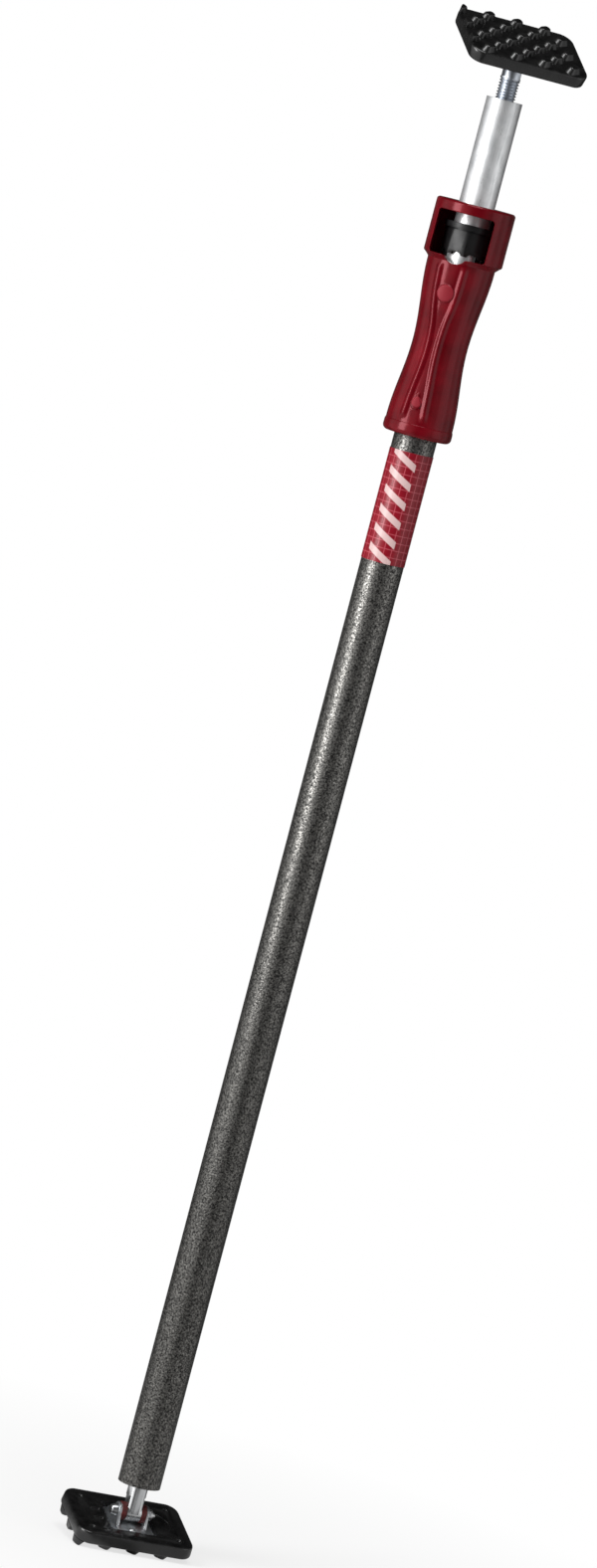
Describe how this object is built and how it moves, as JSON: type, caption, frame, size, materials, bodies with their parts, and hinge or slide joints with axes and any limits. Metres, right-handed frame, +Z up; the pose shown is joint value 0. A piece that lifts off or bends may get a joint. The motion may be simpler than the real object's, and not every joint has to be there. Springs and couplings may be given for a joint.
{
  "type": "telescopic support pole",
  "caption": "Telescopic support pole with a thumb lock in a waisted grip, a threaded fine adjuster and tilting rubber pads on both ends.",
  "frame": {"origin": "where the pole's axis meets the sole of the foot pad", "axes": "+Z up the pole towards the head pad, -Y out of the thumb window"},
  "size_m": [0.1014, 0.0966, 1.0848],
  "materials": {
    "hammer_paint": "hammertone",
    "red_print": "printed film",
    "red_plastic": "moulded gloss",
    "black_plastic": "satin",
    "black_rubber": "satin",
    "zinc_tube": "zinc plated",
    "zinc_thread": "blue zinc",
    "rod_steel": "bright drawn",
    "zinc_plate": "zinc plated",
    "pin_steel": "plain",
    "spring_steel": "plain",
    "red_washer": "moulded"
  },
  "bodies": {
    "barrel": {"outer_tube": "hammer_paint", "band": "red_print", "handle": "red_plastic", "handle_pins": "pin_steel", "tube_bush": "black_plastic", "foot_plug": "pin_steel", "foot_keeper": "pin_steel", "thrust_ball": "pin_steel", "lock_cone": "pin_steel", "lock_cap": "pin_steel", "lock_spring": "spring_steel"},
    "release": {"release_ring": "black_plastic", "lock_jaws": "pin_steel"},
    "inner": {"inner_tube": "zinc_tube", "inner_bush": "black_plastic", "spindle_nut": "zinc_thread"},
    "guide": {"spindle_guide": "black_plastic"},
    "spindle": {"spindle": "zinc_thread", "spindle_clip": "spring_steel"},
    "head": {"head_pad": "black_rubber", "head_plate": "zinc_plate", "head_fork": "zinc_plate", "head_rivets": "pin_steel", "head_pin": "pin_steel", "head_washers": "red_washer"},
    "foot_swivel": {"foot_rod": "rod_steel"},
    "foot": {"foot_pad": "black_rubber", "foot_plate": "zinc_plate", "foot_fork": "zinc_plate", "foot_rivets": "pin_steel", "foot_pin": "pin_steel", "foot_washers": "red_washer"}
  },
  "joints": [
    {"name": "release_lift", "type": "slide", "parent": "barrel", "child": "release", "axis": [0, 0, 1], "range_m": [0, 0.003], "stiffness_N_per_m": 600, "springref_m": -0.004, "deforming": ["lock_spring"]},
    {"name": "tube_slide", "type": "slide", "parent": "barrel", "child": "inner", "axis": [0, 0, 1], "range_m": [-0.065, 0.64]},
    {"name": "spindle_rise", "type": "slide", "parent": "inner", "child": "guide", "axis": [0, 0, 1], "range_m": [-0.0121, 0.0401]},
    {"name": "spindle_turn", "type": "hinge", "parent": "guide", "child": "spindle", "pos_m": [0, 0, 1.05123], "axis": [0, 0, 1], "range_deg": [-2160, 7200]},
    {"name": "head_tilt", "type": "hinge", "parent": "spindle", "child": "head", "pos_m": [0, 0, 1.05123], "axis": [0.809, 0.5878, 0], "range_deg": [-71, 19]},
    {"name": "foot_turn", "type": "hinge", "parent": "barrel", "child": "foot_swivel", "pos_m": [0, 0, 0.03923], "axis": [0, 0, 1], "continuous": true},
    {"name": "foot_tilt", "type": "hinge", "parent": "foot_swivel", "child": "foot", "pos_m": [0, 0, 0.01873], "axis": [0.809, 0.5878, 0], "range_deg": [-61, 29]}
  ],
  "couplings": [
    {"joint": "spindle_rise", "follows": "spindle_turn", "m_per_rad": 0.00031831}
  ]
}
